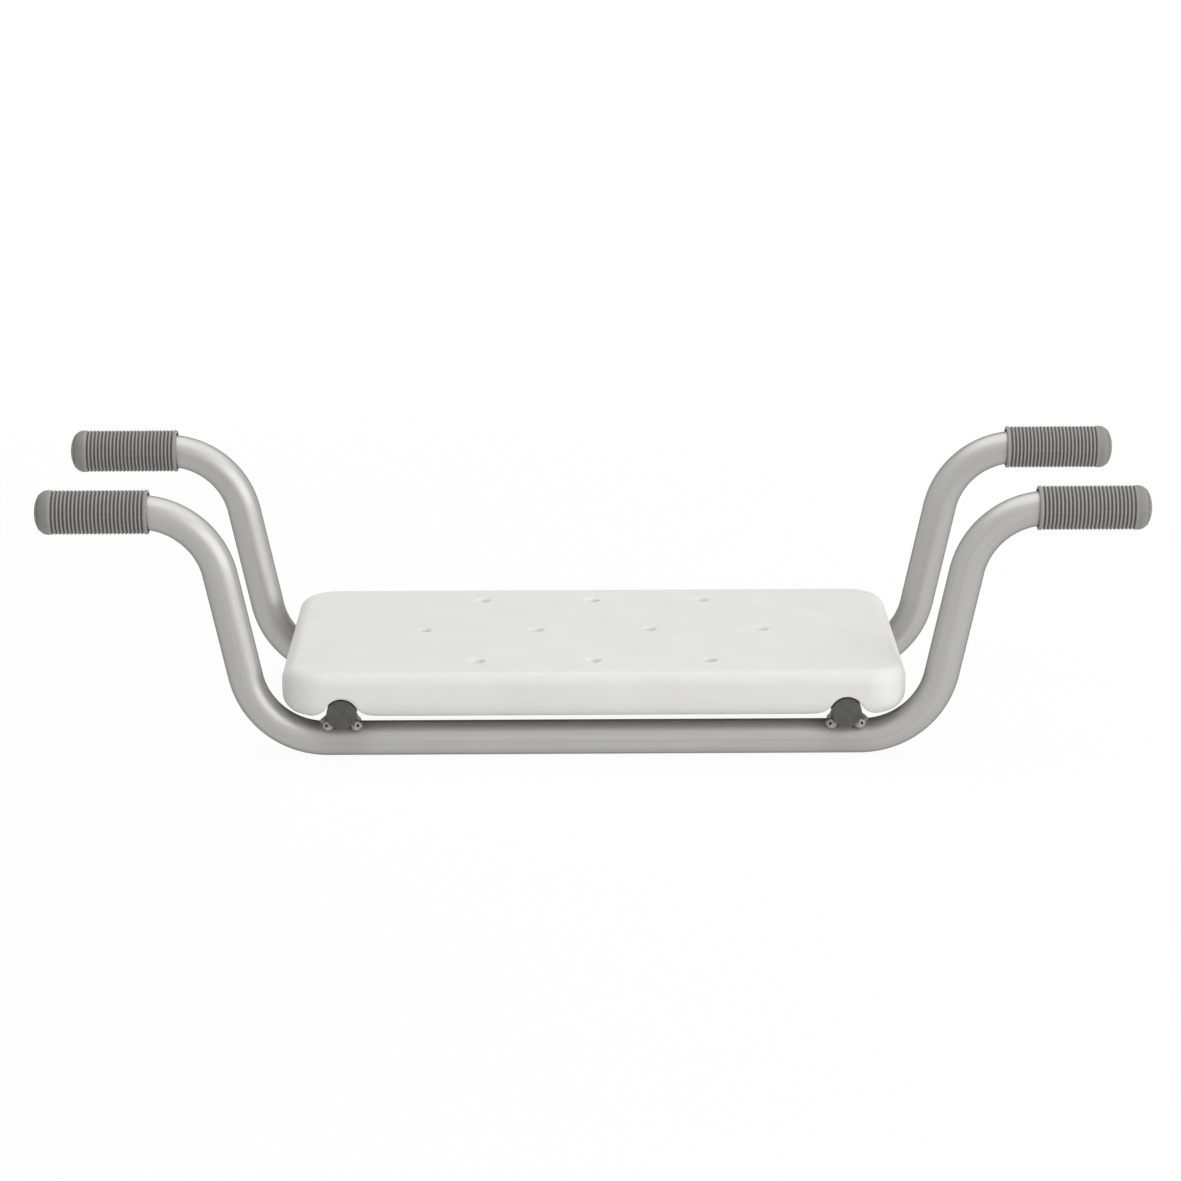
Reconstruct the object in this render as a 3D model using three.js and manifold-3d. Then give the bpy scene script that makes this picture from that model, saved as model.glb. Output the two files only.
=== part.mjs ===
// Bath bench: a hollow blow-moulded seat that hangs between the rims of a bath on two bent tube rails.
// Millimetres, +Z up. X runs along the bench's width, the front faces -Y, and the origin is the middle
// of the lowest line of the two rails. Pieces that touch on the real bench keep CLEARANCE between them.

import * as THREE from 'three';
import { mergeVertices } from 'three/addons/utils/BufferGeometryUtils.js';
import Module from 'manifold-3d';

// Fits and cuts
const CLEARANCE = 0.3;
const OVERRUN = 6;

// Overall sizes: across the grips, from the grips' axis down to the rails' axis, and front to back
const BENCH_WIDTH = 706;
const SEAT_DROP = 150;
const SEAT_DEPTH = 212;

// Rails: round tube, bent twice at each end
const RAIL_DIAMETER = 22.2;
const RAIL_WALL = 1.6;
const BEND_RADIUS = 52;
const BEND_ANGLE = THREE.MathUtils.degToRad(78);
const RAIL_INSET = 20;
const RAIL_SIDES = 16;
const RAIL_BORE_SIDES = 8;
const BEND_STEPS = 6;

// Cross tubes: they lie over the rails and carry the seat
const CROSS_DIAMETER = 19;
const CROSS_WALL = 1.5;
const CROSS_FROM_BEND = 10.8;
const CROSS_SIDES = 16;

// Weld beads: one on each side of a cross tube where it lies over a rail
const BEAD_HALF_WIDTH = 4.3;
const BEAD_HALF_HEIGHT = 5.6;
const BEAD_LIFT = 2.9;
const BEAD_SPAN = THREE.MathUtils.degToRad(74);
const BEAD_STEPS = 4;
const BEAD_SIDES = 8;

// Caps: plugs that close the ends of the cross tubes
const CAP_RECESS = 1;
const CAP_FLANGE = 2;
const CAP_EDGE = 0.8;
const CAP_PLUG_LENGTH = 12;
const CAP_PLUG_WALL = 2;
const CAP_TAPER = 1;
const CAP_SIDES = 16;

// Hand grips: ribbed sleeves with a domed end
const GRIP_DIAMETER = 28.2;
const GRIP_END_WALL = 3;
const GRIP_LENGTH = 72;
const GRIP_OVER_BEND = 6.9;
const GRIP_DOME = 9;
const GRIP_BAND = 3.2;
const GRIP_COLLAR = 3;
const RIB_PITCH = 2.47;
const RIB_DEPTH = 0.8;
const MOUTH_FLARE = 0.9;
const MOUTH_ROUND = 0.8;
const MOUTH_TAPER = 9;
const GRIP_SIDES = 12;
const DOME_STEPS = 3;

// Seat: a closed hollow moulding with rounded edges
const SEAT_PAST_BEND = 28.2;
const SEAT_THICKNESS = 30;
const SEAT_BELOW_CROSS = 3.5;
const SEAT_WALL = 3;
const SEAT_CORNER_RADIUS = 26;
const SEAT_EDGE_RADIUS = 9;
const SEAT_CORNER_STEPS = 3;
const SEAT_EDGE_STEPS = 3;
const CHANNEL_PLAY = 1.2;
const CHANNEL_FLARE = 11;
const CHANNEL_WALL = 3.4;
const CHANNEL_STEPS = 3;

// Drain holes: rows of three, four and three, each a short tube from skin to skin
const DRAIN_BORE = 6.5;
const DRAIN_MOUTH = 10.5;
const DRAIN_MOUTH_DEPTH = 1.8;
const DRAIN_FROM_CROSS = 49.25;
const DRAIN_FROM_EDGE = 33;
const DRAIN_SIDES = 10;
const SLEEVE_SIDES = 8;
const DRAIN_ROWS = [3, 4, 3];

// Blow hole: left in the seat's underside by the moulding
const BLOW_HOLE_DIAMETER = 7;

// Seat fixings: a screw, a saddle washer and a threaded insert at each of four places
const FIXING_FROM_RAIL = 30;
const SCREW_DIAMETER = 5;
const SCREW_LENGTH = 28;
const SCREW_HEAD_DIAMETER = 10;
const SCREW_HEAD_HEIGHT = 3;
const SCREW_HEAD_EDGE = 1;
const SCREW_SIDES = 8;
const WASHER_DIAMETER = 14;
const WASHER_HEIGHT = 3.6;
const WASHER_BELOW_TUBE = 1.3;
const INSERT_DIAMETER = 8;
const INSERT_LENGTH = 9;
const INSERT_DEPTH = 0.6;
const BOSS_DIAMETER = 15;

// Lengths along the rail that follow from the sizes
const TUBE_END = BENCH_WIDTH / 2 - GRIP_END_WALL - CLEARANCE;
const HANDLE_RUN = GRIP_LENGTH - GRIP_END_WALL - CLEARANCE - GRIP_OVER_BEND;
const BEND_REACH = 2 * BEND_RADIUS * Math.sin(BEND_ANGLE);
const BEND_RISE = 2 * BEND_RADIUS * (1 - Math.cos(BEND_ANGLE));
const ARM_LENGTH = (SEAT_DROP - BEND_RISE) / Math.sin(BEND_ANGLE);
const BASE_HALF = TUBE_END - HANDLE_RUN - BEND_REACH - ARM_LENGTH * Math.cos(BEND_ANGLE);

// Spacings that follow from the sizes
const RAIL_SPACING = SEAT_DEPTH - 2 * RAIL_INSET;
const CROSS_SPACING = 2 * (BASE_HALF - CROSS_FROM_BEND);
const CROSS_LENGTH = SEAT_DEPTH - 2 * (CAP_RECESS + CAP_FLANGE);
const SEAT_WIDTH = 2 * (BASE_HALF + SEAT_PAST_BEND);
const FIXING_SPACING = RAIL_SPACING - 2 * FIXING_FROM_RAIL;
const RIBBED_LENGTH = GRIP_LENGTH - GRIP_COLLAR - GRIP_BAND - GRIP_DOME;
const RIB_COUNT = Math.round(RIBBED_LENGTH / RIB_PITCH);
const LONGEST_DRAIN_ROW = Math.max(...DRAIN_ROWS);
const DRAIN_PITCH = (CROSS_SPACING - 2 * DRAIN_FROM_CROSS) / (LONGEST_DRAIN_ROW - 1);
const DRAIN_ROW_PITCH = (SEAT_DEPTH - 2 * DRAIN_FROM_EDGE) / (DRAIN_ROWS.length - 1);
const BLOW_HOLE_FORWARD = DRAIN_ROW_PITCH / 2;

// Heights that follow from the sizes
const RAIL_AXIS = RAIL_DIAMETER / 2;
const GRIP_AXIS = RAIL_AXIS + SEAT_DROP;
const CROSS_AXIS = RAIL_DIAMETER + CLEARANCE + CROSS_DIAMETER / 2;
const SEAT_BOTTOM = CROSS_AXIS - SEAT_BELOW_CROSS;
const CHANNEL_ROOF = CROSS_AXIS + CROSS_DIAMETER / 2 + CLEARANCE;
const CHANNEL_RADIUS = CROSS_DIAMETER / 2 + CHANNEL_PLAY;
const CHANNEL_AXIS = CHANNEL_ROOF - CHANNEL_RADIUS;
const CROSS_UNDERSIDE = CROSS_AXIS - CROSS_DIAMETER / 2;
const SCREW_SEAT = CROSS_UNDERSIDE - WASHER_BELOW_TUBE;
const INSERT_BOTTOM = CHANNEL_ROOF + INSERT_DEPTH;
const SCREW_HOLE_RADIUS = SCREW_DIAMETER / 2 + CLEARANCE;

// Sides of the bench, and a right angle
const LEFT = -1;
const RIGHT = 1;
const FRONT = -1;
const REAR = 1;
const QUARTER_TURN = Math.PI / 2;

// Finishes
const satinSilver = { color: 0xb9b8b5, roughness: 0.38, metalness: 0.85 };
const weldSilver = { color: 0xa9a8a4, roughness: 0.5, metalness: 0.8 };
const gripGrey = { color: 0x77746f, roughness: 0.62, metalness: 0 };
const capGrey = { color: 0x424140, roughness: 0.6, metalness: 0 };
const seatWhite = { color: 0xeeeeec, roughness: 0.45, metalness: 0 };
const zincSteel = { color: 0xb4b6b8, roughness: 0.35, metalness: 1 };
const washerBlack = { color: 0x2a2a2b, roughness: 0.6, metalness: 0 };
const brass = { color: 0xb5944f, roughness: 0.4, metalness: 1 };

const wasm = await Module();
wasm.setup();

// A closed geometry as a solid that can be joined and cut
function solidOf(geometry) {
  const bare = geometry.index ? geometry.toNonIndexed() : geometry.clone();
  bare.deleteAttribute('normal');
  bare.deleteAttribute('uv');
  const merged = mergeVertices(bare);
  const triangles = [];
  for (let i = 0; i < merged.index.count; i += 3) {
    const [a, b, c] = [0, 1, 2].map((corner) => merged.index.getX(i + corner));
    if (a !== b && b !== c && c !== a) triangles.push(a, b, c);
  }
  const mesh = new wasm.Mesh({
    numProp: 3,
    vertProperties: new Float32Array(merged.attributes.position.array),
    triVerts: new Uint32Array(triangles),
  });
  return new wasm.Manifold(mesh);
}

// A solid as a named mesh with a finish of its own
function meshOf(name, solid, finish) {
  const { vertProperties, triVerts } = solid.getMesh();
  const geometry = new THREE.BufferGeometry();
  geometry.setAttribute('position', new THREE.BufferAttribute(new Float32Array(vertProperties), 3));
  geometry.setIndex(Array.from(triVerts));
  geometry.computeVertexNormals();
  const mesh = new THREE.Mesh(geometry, new THREE.MeshStandardMaterial(finish));
  mesh.name = name;
  return mesh;
}

// The corners of an oval outline with one corner on top
function oval(halfWidth, halfHeight, sides) {
  const corners = [];
  for (let i = 0; i < sides; i += 1) {
    const turn = QUARTER_TURN + (i / sides) * 2 * Math.PI;
    corners.push(new THREE.Vector2(halfWidth * Math.cos(turn), halfHeight * Math.sin(turn)));
  }
  return corners;
}

function ring(radius, sides) {
  return oval(radius, radius, sides);
}

// The cut through a round tube
function tubeSection(diameter, wall, sides, boreSides) {
  const section = new THREE.Shape(ring(diameter / 2, sides));
  section.holes.push(new THREE.Path(ring(diameter / 2 - wall, boreSides)));
  return section;
}

// A round bar that runs front to back with its middle at the origin
function barAlongY(radius, length, sides) {
  const bar = new THREE.ExtrudeGeometry(new THREE.Shape(ring(radius, sides)), {
    depth: length,
    bevelEnabled: false,
  });
  return bar.translate(0, 0, -length / 2).rotateX(-QUARTER_TURN);
}

// An upright round bar between two heights
function barAlongZ(radius, bottom, top, sides) {
  const bar = new THREE.CylinderGeometry(radius, radius, top - bottom, sides);
  return bar.rotateX(QUARTER_TURN).translate(0, 0, (bottom + top) / 2);
}

// A turned piece that stands on the Z axis, from the radius and height of each corner of its profile
function turned(profile, sides) {
  const corners = profile.map(([radius, height]) => new THREE.Vector2(radius, height));
  return new THREE.LatheGeometry(corners, sides).rotateX(QUARTER_TURN);
}

// A bent route in the XZ plane, stepped only where it bends
class BentRoute extends THREE.Curve {
  constructor(stations) {
    super();
    this.stations = stations;
  }

  stationAt(u) {
    return this.stations[Math.round(u * (this.stations.length - 1))];
  }

  getPointAt(u, target = new THREE.Vector3()) {
    const { x, z } = this.stationAt(u);
    return target.set(x, 0, z);
  }

  getTangentAt(u, target = new THREE.Vector3()) {
    const { heading } = this.stationAt(u);
    return target.set(Math.cos(heading), 0, Math.sin(heading));
  }
}

// The stations of one bend, from where the tube is straight to where it is straight again
function bendStations(start, turn) {
  const side = Math.sign(turn);
  const centreX = start.x - side * BEND_RADIUS * Math.sin(start.heading);
  const centreZ = start.z + side * BEND_RADIUS * Math.cos(start.heading);
  const stations = [];
  for (let step = 0; step <= BEND_STEPS; step += 1) {
    const heading = start.heading + (turn * step) / BEND_STEPS;
    stations.push({
      x: centreX + side * BEND_RADIUS * Math.sin(heading),
      z: centreZ - side * BEND_RADIUS * Math.cos(heading),
      heading,
    });
  }
  return stations;
}

// A station further along a straight stretch
function ahead(start, length) {
  return {
    x: start.x + length * Math.cos(start.heading),
    z: start.z + length * Math.sin(start.heading),
    heading: start.heading,
  };
}

// The rail's route: handle, bend, arm, bend, base, bend, arm, bend, handle
function railRoute() {
  const stations = [{ x: -TUBE_END, z: GRIP_AXIS, heading: 0 }];
  const last = () => stations[stations.length - 1];
  stations.push(...bendStations(ahead(last(), HANDLE_RUN), -BEND_ANGLE));
  stations.push(...bendStations(ahead(last(), ARM_LENGTH), BEND_ANGLE));
  stations.push(...bendStations(ahead(last(), 2 * BASE_HALF), BEND_ANGLE));
  stations.push(...bendStations(ahead(last(), ARM_LENGTH), -BEND_ANGLE));
  stations.push(ahead(last(), HANDLE_RUN));
  return new BentRoute(stations);
}

function rail(name, side) {
  const route = railRoute();
  const section = tubeSection(RAIL_DIAMETER, RAIL_WALL, RAIL_SIDES, RAIL_BORE_SIDES);
  const tube = new THREE.ExtrudeGeometry(section, {
    steps: route.stations.length - 1,
    extrudePath: route,
  });
  const mesh = meshOf(name, solidOf(tube), satinSilver);
  mesh.position.y = (side * RAIL_SPACING) / 2;
  return mesh;
}

// A cross tube with the screw holes through both its walls
function crossTube(name, side) {
  const section = tubeSection(CROSS_DIAMETER, CROSS_WALL, CROSS_SIDES, CROSS_SIDES);
  const tube = new THREE.ExtrudeGeometry(section, { depth: CROSS_LENGTH, bevelEnabled: false });
  tube.translate(0, 0, -CROSS_LENGTH / 2).rotateX(-QUARTER_TURN);
  const hole = barAlongZ(SCREW_HOLE_RADIUS, -CROSS_DIAMETER, CROSS_DIAMETER, SCREW_SIDES);
  let solid = solidOf(tube);
  for (const end of [FRONT, REAR]) {
    solid = solid.subtract(solidOf(hole.clone().translate(0, (end * FIXING_SPACING) / 2, 0)));
  }
  const mesh = meshOf(name, solid, satinSilver);
  mesh.position.set((side * CROSS_SPACING) / 2, 0, CROSS_AXIS);
  return mesh;
}

// A weld bead bent over the rail, run out round at both ends and fitted to the two tubes it joins
function weldBead(name, side, row, flank) {
  const arcRadius = RAIL_DIAMETER / 2 + BEAD_LIFT;
  const offset = (flank * CROSS_DIAMETER) / 2;
  const place = (turn) => [offset, arcRadius * Math.sin(turn), arcRadius * Math.cos(turn)];
  const points = [];
  for (let step = 0; step <= BEAD_STEPS; step += 1) {
    const turn = BEAD_SPAN * (step / BEAD_STEPS - 1 / 2);
    points.push(new THREE.Vector3(...place(turn)));
  }
  const section = new THREE.Shape(oval(BEAD_HALF_WIDTH, BEAD_HALF_HEIGHT, BEAD_SIDES));
  const run = new THREE.ExtrudeGeometry(section, {
    steps: BEAD_STEPS,
    extrudePath: new THREE.CatmullRomCurve3(points),
  });
  let solid = solidOf(run);
  for (const end of [FRONT, REAR]) {
    const turn = (end * BEAD_SPAN) / 2;
    const lump = new THREE.SphereGeometry(1, BEAD_SIDES, BEAD_SIDES / 2);
    lump.scale(BEAD_HALF_WIDTH, BEAD_HALF_WIDTH, BEAD_HALF_HEIGHT).rotateX(-turn);
    solid = solid.add(solidOf(lump.translate(...place(turn))));
  }
  const railCut = barAlongY(RAIL_DIAMETER / 2 + CLEARANCE, CROSS_LENGTH, RAIL_SIDES);
  const crossCut = barAlongY(CROSS_DIAMETER / 2 + CLEARANCE, CROSS_LENGTH, CROSS_SIDES);
  solid = solid.subtract(solidOf(railCut.rotateZ(QUARTER_TURN)));
  solid = solid.subtract(solidOf(crossCut.translate(0, 0, CROSS_AXIS - RAIL_AXIS)));
  const mesh = meshOf(name, solid, weldSilver);
  mesh.position.set((side * CROSS_SPACING) / 2, (row * RAIL_SPACING) / 2, RAIL_AXIS);
  return mesh;
}

// A hollow plug with a rounded flange as wide as the tube
function crossCap(name, side, end) {
  const flange = CROSS_DIAMETER / 2;
  const plug = flange - CROSS_WALL - CLEARANCE;
  const profile = [
    [0, CAP_FLANGE],
    [flange - CAP_EDGE, CAP_FLANGE],
    [flange, CAP_FLANGE - CAP_EDGE],
    [flange, 0],
    [plug, 0],
    [plug, CAP_TAPER - CAP_PLUG_LENGTH],
    [plug - CAP_TAPER, -CAP_PLUG_LENGTH],
    [plug - CAP_PLUG_WALL, -CAP_PLUG_LENGTH],
    [plug - CAP_PLUG_WALL, 0],
    [0, 0],
  ];
  const mesh = meshOf(name, solidOf(turned(profile.reverse(), CAP_SIDES)), capGrey);
  mesh.position.set((side * CROSS_SPACING) / 2, (end * CROSS_LENGTH) / 2, CROSS_AXIS);
  mesh.rotation.x = -end * QUARTER_TURN;
  return mesh;
}

// The grip's profile from the mouth outside to the dome, and back down the bore, whose flats clear the tube
function gripProfile() {
  const outer = GRIP_DIAMETER / 2;
  const valley = outer - RIB_DEPTH;
  const bore = (RAIL_DIAMETER / 2 + CLEARANCE) / Math.cos(Math.PI / GRIP_SIDES);
  const boreEnd = GRIP_LENGTH - GRIP_END_WALL;
  const profile = [
    [bore + MOUTH_FLARE, 0],
    [outer - MOUTH_ROUND, 0],
    [outer, MOUTH_ROUND],
    [outer, GRIP_COLLAR - RIB_PITCH / 2],
  ];
  for (let rib = 0; rib < RIB_COUNT; rib += 1) {
    const start = GRIP_COLLAR + rib * RIB_PITCH;
    profile.push([valley, start], [outer, start + RIB_PITCH / 2]);
  }
  profile.push([valley, GRIP_COLLAR + RIB_COUNT * RIB_PITCH]);
  const domeStart = GRIP_LENGTH - GRIP_DOME;
  for (let step = 0; step <= DOME_STEPS; step += 1) {
    const turn = (QUARTER_TURN * step) / DOME_STEPS;
    profile.push([outer * Math.cos(turn), domeStart + GRIP_DOME * Math.sin(turn)]);
  }
  profile[profile.length - 1][0] = 0;
  profile.push([0, boreEnd], [bore, boreEnd], [bore, MOUTH_TAPER], [bore + MOUTH_FLARE, 0]);
  return profile;
}

function handGrip(name, side, row) {
  const mesh = meshOf(name, solidOf(turned(gripProfile(), GRIP_SIDES)), gripGrey);
  mesh.position.set(side * (BENCH_WIDTH / 2 - GRIP_LENGTH), (row * RAIL_SPACING) / 2, GRIP_AXIS);
  mesh.rotation.y = side * QUARTER_TURN;
  return mesh;
}

// The seat's rounded block, drawn in evenly by an inset for its hollow
function seatBlock(inset) {
  const x = SEAT_WIDTH / 2 - inset;
  const y = SEAT_DEPTH / 2 - inset;
  const corner = SEAT_CORNER_RADIUS - inset;
  const edge = SEAT_EDGE_RADIUS - inset;
  const plan = new THREE.Shape();
  plan.absarc(x - corner, y - corner, corner, 0, QUARTER_TURN);
  plan.absarc(corner - x, y - corner, corner, QUARTER_TURN, Math.PI);
  plan.absarc(corner - x, corner - y, corner, Math.PI, 3 * QUARTER_TURN);
  plan.absarc(x - corner, corner - y, corner, 3 * QUARTER_TURN, 4 * QUARTER_TURN);
  const block = new THREE.ExtrudeGeometry(plan, {
    depth: SEAT_THICKNESS - 2 * inset - 2 * edge,
    curveSegments: SEAT_CORNER_STEPS,
    bevelThickness: edge,
    bevelSize: edge,
    bevelOffset: -edge,
    bevelSegments: SEAT_EDGE_STEPS,
  });
  return solidOf(block.translate(0, 0, SEAT_BOTTOM + inset + edge));
}

// The round-topped channel over a cross tube, flared at the seat's underside, grown evenly for its skin
function channel(side, growth) {
  const radius = CHANNEL_RADIUS + growth;
  const flare = CHANNEL_FLARE - growth;
  const bottom = SEAT_BOTTOM + growth;
  const rise = bottom + flare - CHANNEL_AXIS;
  const reach = Math.sqrt((radius + flare) ** 2 - rise ** 2);
  const meet = Math.atan2(rise, reach);
  const outline = new THREE.Shape();
  outline.moveTo(reach, SEAT_BOTTOM - OVERRUN);
  outline.absarc(reach, bottom + flare, flare, -QUARTER_TURN, meet - Math.PI, true);
  outline.absarc(0, CHANNEL_AXIS, radius, meet, Math.PI - meet);
  outline.absarc(-reach, bottom + flare, flare, -meet, -QUARTER_TURN, true);
  outline.lineTo(-reach, SEAT_BOTTOM - OVERRUN);
  const length = SEAT_DEPTH + 2 * OVERRUN;
  const cut = new THREE.ExtrudeGeometry(outline, {
    depth: length,
    curveSegments: CHANNEL_STEPS,
    bevelEnabled: false,
  });
  cut.rotateX(QUARTER_TURN).translate((side * CROSS_SPACING) / 2, length / 2, 0);
  return solidOf(cut);
}

// The centres of the drain holes, row by row from the front
function drainPlaces() {
  const places = [];
  DRAIN_ROWS.forEach((count, row) => {
    const y = (row - (DRAIN_ROWS.length - 1) / 2) * DRAIN_ROW_PITCH;
    for (let hole = 0; hole < count; hole += 1) {
      places.push([(hole - (count - 1) / 2) * DRAIN_PITCH, y]);
    }
  });
  return places;
}

// The tool that cuts a drain hole with its sloping mouth
function drainCut() {
  const top = SEAT_BOTTOM + SEAT_THICKNESS;
  const slope = (DRAIN_MOUTH - DRAIN_BORE) / 2 / DRAIN_MOUTH_DEPTH;
  const profile = [
    [0, SEAT_BOTTOM - OVERRUN],
    [DRAIN_BORE / 2, SEAT_BOTTOM - OVERRUN],
    [DRAIN_BORE / 2, top - DRAIN_MOUTH_DEPTH],
    [DRAIN_MOUTH / 2 + slope * OVERRUN, top + OVERRUN],
    [0, top + OVERRUN],
  ];
  return turned(profile, DRAIN_SIDES);
}

// The centre of one of the seat's four fixings
function fixingPlace(side, row) {
  return [(side * CROSS_SPACING) / 2, (row * FIXING_SPACING) / 2];
}

function fixingPlaces() {
  return [LEFT, RIGHT].flatMap((side) => [FRONT, REAR].map((row) => fixingPlace(side, row)));
}

// The seat's hollow: it leaves a skin all round, and round each drain hole, channel and fixing
function seatHollow() {
  const bottom = SEAT_BOTTOM - OVERRUN;
  const top = SEAT_BOTTOM + SEAT_THICKNESS;
  let hollow = seatBlock(SEAT_WALL);
  for (const side of [LEFT, RIGHT]) hollow = hollow.subtract(channel(side, CHANNEL_WALL));
  const sleeve = barAlongZ(DRAIN_BORE / 2 + SEAT_WALL, bottom, top, SLEEVE_SIDES);
  for (const [x, y] of drainPlaces()) {
    hollow = hollow.subtract(solidOf(sleeve.clone().translate(x, y, 0)));
  }
  const boss = barAlongZ(BOSS_DIAMETER / 2, bottom, top, SLEEVE_SIDES);
  for (const [x, y] of fixingPlaces()) {
    hollow = hollow.subtract(solidOf(boss.clone().translate(x, y, 0)));
  }
  return hollow;
}

function seat() {
  let solid = seatBlock(0).subtract(seatHollow());
  for (const side of [LEFT, RIGHT]) solid = solid.subtract(channel(side, 0));
  for (const [x, y] of drainPlaces()) {
    solid = solid.subtract(solidOf(drainCut().translate(x, y, 0)));
  }
  const pocketRadius = INSERT_DIAMETER / 2 + CLEARANCE;
  const pocketTop = INSERT_BOTTOM + INSERT_LENGTH + CLEARANCE;
  const pocket = barAlongZ(pocketRadius, CROSS_AXIS, pocketTop, SCREW_SIDES);
  for (const [x, y] of fixingPlaces()) {
    solid = solid.subtract(solidOf(pocket.clone().translate(x, y, 0)));
  }
  const blowTop = SEAT_BOTTOM + SEAT_WALL + CLEARANCE;
  const blowHole = barAlongZ(BLOW_HOLE_DIAMETER / 2, SEAT_BOTTOM - OVERRUN, blowTop, DRAIN_SIDES);
  solid = solid.subtract(solidOf(blowHole.translate(0, -BLOW_HOLE_FORWARD, 0)));
  return meshOf('seat', solid, seatWhite);
}

// A pan-head screw, its head under the saddle washer and its tip in the insert
function seatScrew(name, [x, y]) {
  const head = SCREW_HEAD_DIAMETER / 2;
  const shank = SCREW_DIAMETER / 2;
  const profile = [
    [0, -SCREW_HEAD_HEIGHT],
    [head - SCREW_HEAD_EDGE, -SCREW_HEAD_HEIGHT],
    [head, SCREW_HEAD_EDGE - SCREW_HEAD_HEIGHT],
    [head, 0],
    [shank, 0],
    [shank, SCREW_LENGTH],
    [0, SCREW_LENGTH],
  ];
  const mesh = meshOf(name, solidOf(turned(profile, SCREW_SIDES)), zincSteel);
  mesh.position.set(x, y, SCREW_SEAT);
  return mesh;
}

// A washer that is flat below and hollowed above to fit the round cross tube
function saddleWasher(name, [x, y]) {
  const blank = barAlongZ(WASHER_DIAMETER / 2, 0, WASHER_HEIGHT, SCREW_SIDES);
  const hole = barAlongZ(SCREW_HOLE_RADIUS, -OVERRUN, WASHER_HEIGHT + OVERRUN, SCREW_SIDES);
  const tube = barAlongY(CROSS_DIAMETER / 2 + CLEARANCE, WASHER_DIAMETER + OVERRUN, CROSS_SIDES);
  tube.translate(0, 0, CROSS_AXIS - SCREW_SEAT);
  const solid = solidOf(blank).subtract(solidOf(hole)).subtract(solidOf(tube));
  const mesh = meshOf(name, solid, washerBlack);
  mesh.position.set(x, y, SCREW_SEAT);
  return mesh;
}

// A threaded sleeve, shown without its thread, set into the seat above a cross tube
function threadedInsert(name, [x, y]) {
  const outer = INSERT_DIAMETER / 2;
  const profile = [
    [SCREW_HOLE_RADIUS, 0],
    [outer, 0],
    [outer, INSERT_LENGTH],
    [SCREW_HOLE_RADIUS, INSERT_LENGTH],
    [SCREW_HOLE_RADIUS, 0],
  ];
  const mesh = meshOf(name, solidOf(turned(profile, SCREW_SIDES)), brass);
  mesh.position.set(x, y, INSERT_BOTTOM);
  return mesh;
}

const bench = new THREE.Group();
const sides = [['left', LEFT], ['right', RIGHT]];
const rows = [['front', FRONT], ['rear', REAR]];
const flanks = [['outer', RIGHT], ['inner', LEFT]];

for (const [rowName, row] of rows) bench.add(rail(`${rowName}_rail`, row));
for (const [sideName, side] of sides) {
  bench.add(crossTube(`${sideName}_cross_tube`, side));
  for (const [rowName, row] of rows) {
    const corner = `${rowName}_${sideName}`;
    const fixing = fixingPlace(side, row);
    bench.add(handGrip(`${corner}_grip`, side, row));
    bench.add(crossCap(`${corner}_cap`, side, row));
    for (const [flankName, flank] of flanks) {
      bench.add(weldBead(`${corner}_${flankName}_weld`, side, row, side * flank));
    }
    bench.add(seatScrew(`${corner}_seat_screw`, fixing));
    bench.add(saddleWasher(`${corner}_saddle_washer`, fixing));
    bench.add(threadedInsert(`${corner}_insert`, fixing));
  }
}
bench.add(seat());

export default bench;
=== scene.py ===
# Bath bench: fine meshes, finishes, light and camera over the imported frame.
# Metres, +Z up, and the front faces -Y. Every piece lies where its CAD node lies.

import math

import bmesh
import bpy
import numpy as np
from mathutils import Matrix, Vector


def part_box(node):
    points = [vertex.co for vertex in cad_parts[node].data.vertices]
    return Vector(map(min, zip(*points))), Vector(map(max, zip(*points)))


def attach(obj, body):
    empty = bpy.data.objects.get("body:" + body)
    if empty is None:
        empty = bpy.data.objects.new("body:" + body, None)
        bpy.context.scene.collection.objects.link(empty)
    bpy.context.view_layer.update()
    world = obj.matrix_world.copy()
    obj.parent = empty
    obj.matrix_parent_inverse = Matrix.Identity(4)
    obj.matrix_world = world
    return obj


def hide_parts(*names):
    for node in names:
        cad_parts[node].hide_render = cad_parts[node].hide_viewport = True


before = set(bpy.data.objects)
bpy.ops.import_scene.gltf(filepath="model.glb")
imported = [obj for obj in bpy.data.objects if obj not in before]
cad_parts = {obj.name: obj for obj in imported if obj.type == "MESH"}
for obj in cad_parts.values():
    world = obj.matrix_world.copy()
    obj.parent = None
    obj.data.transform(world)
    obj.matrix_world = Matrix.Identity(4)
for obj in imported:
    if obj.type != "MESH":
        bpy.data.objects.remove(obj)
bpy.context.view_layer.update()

MM = 0.001
TURN = 2 * math.pi
QUARTER = TURN / 4
LEFT, RIGHT, FRONT, REAR = -1, 1, -1, 1
SIDES = (("left", LEFT), ("right", RIGHT))
ROWS = (("front", FRONT), ("rear", REAR))


# Places and sizes taken from the frame
def middle(node):
    """The middle of a node's box"""
    low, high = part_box(node)
    return (low + high) / 2


def extent(node):
    """A node's size along each axis"""
    low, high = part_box(node)
    return high - low


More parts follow.
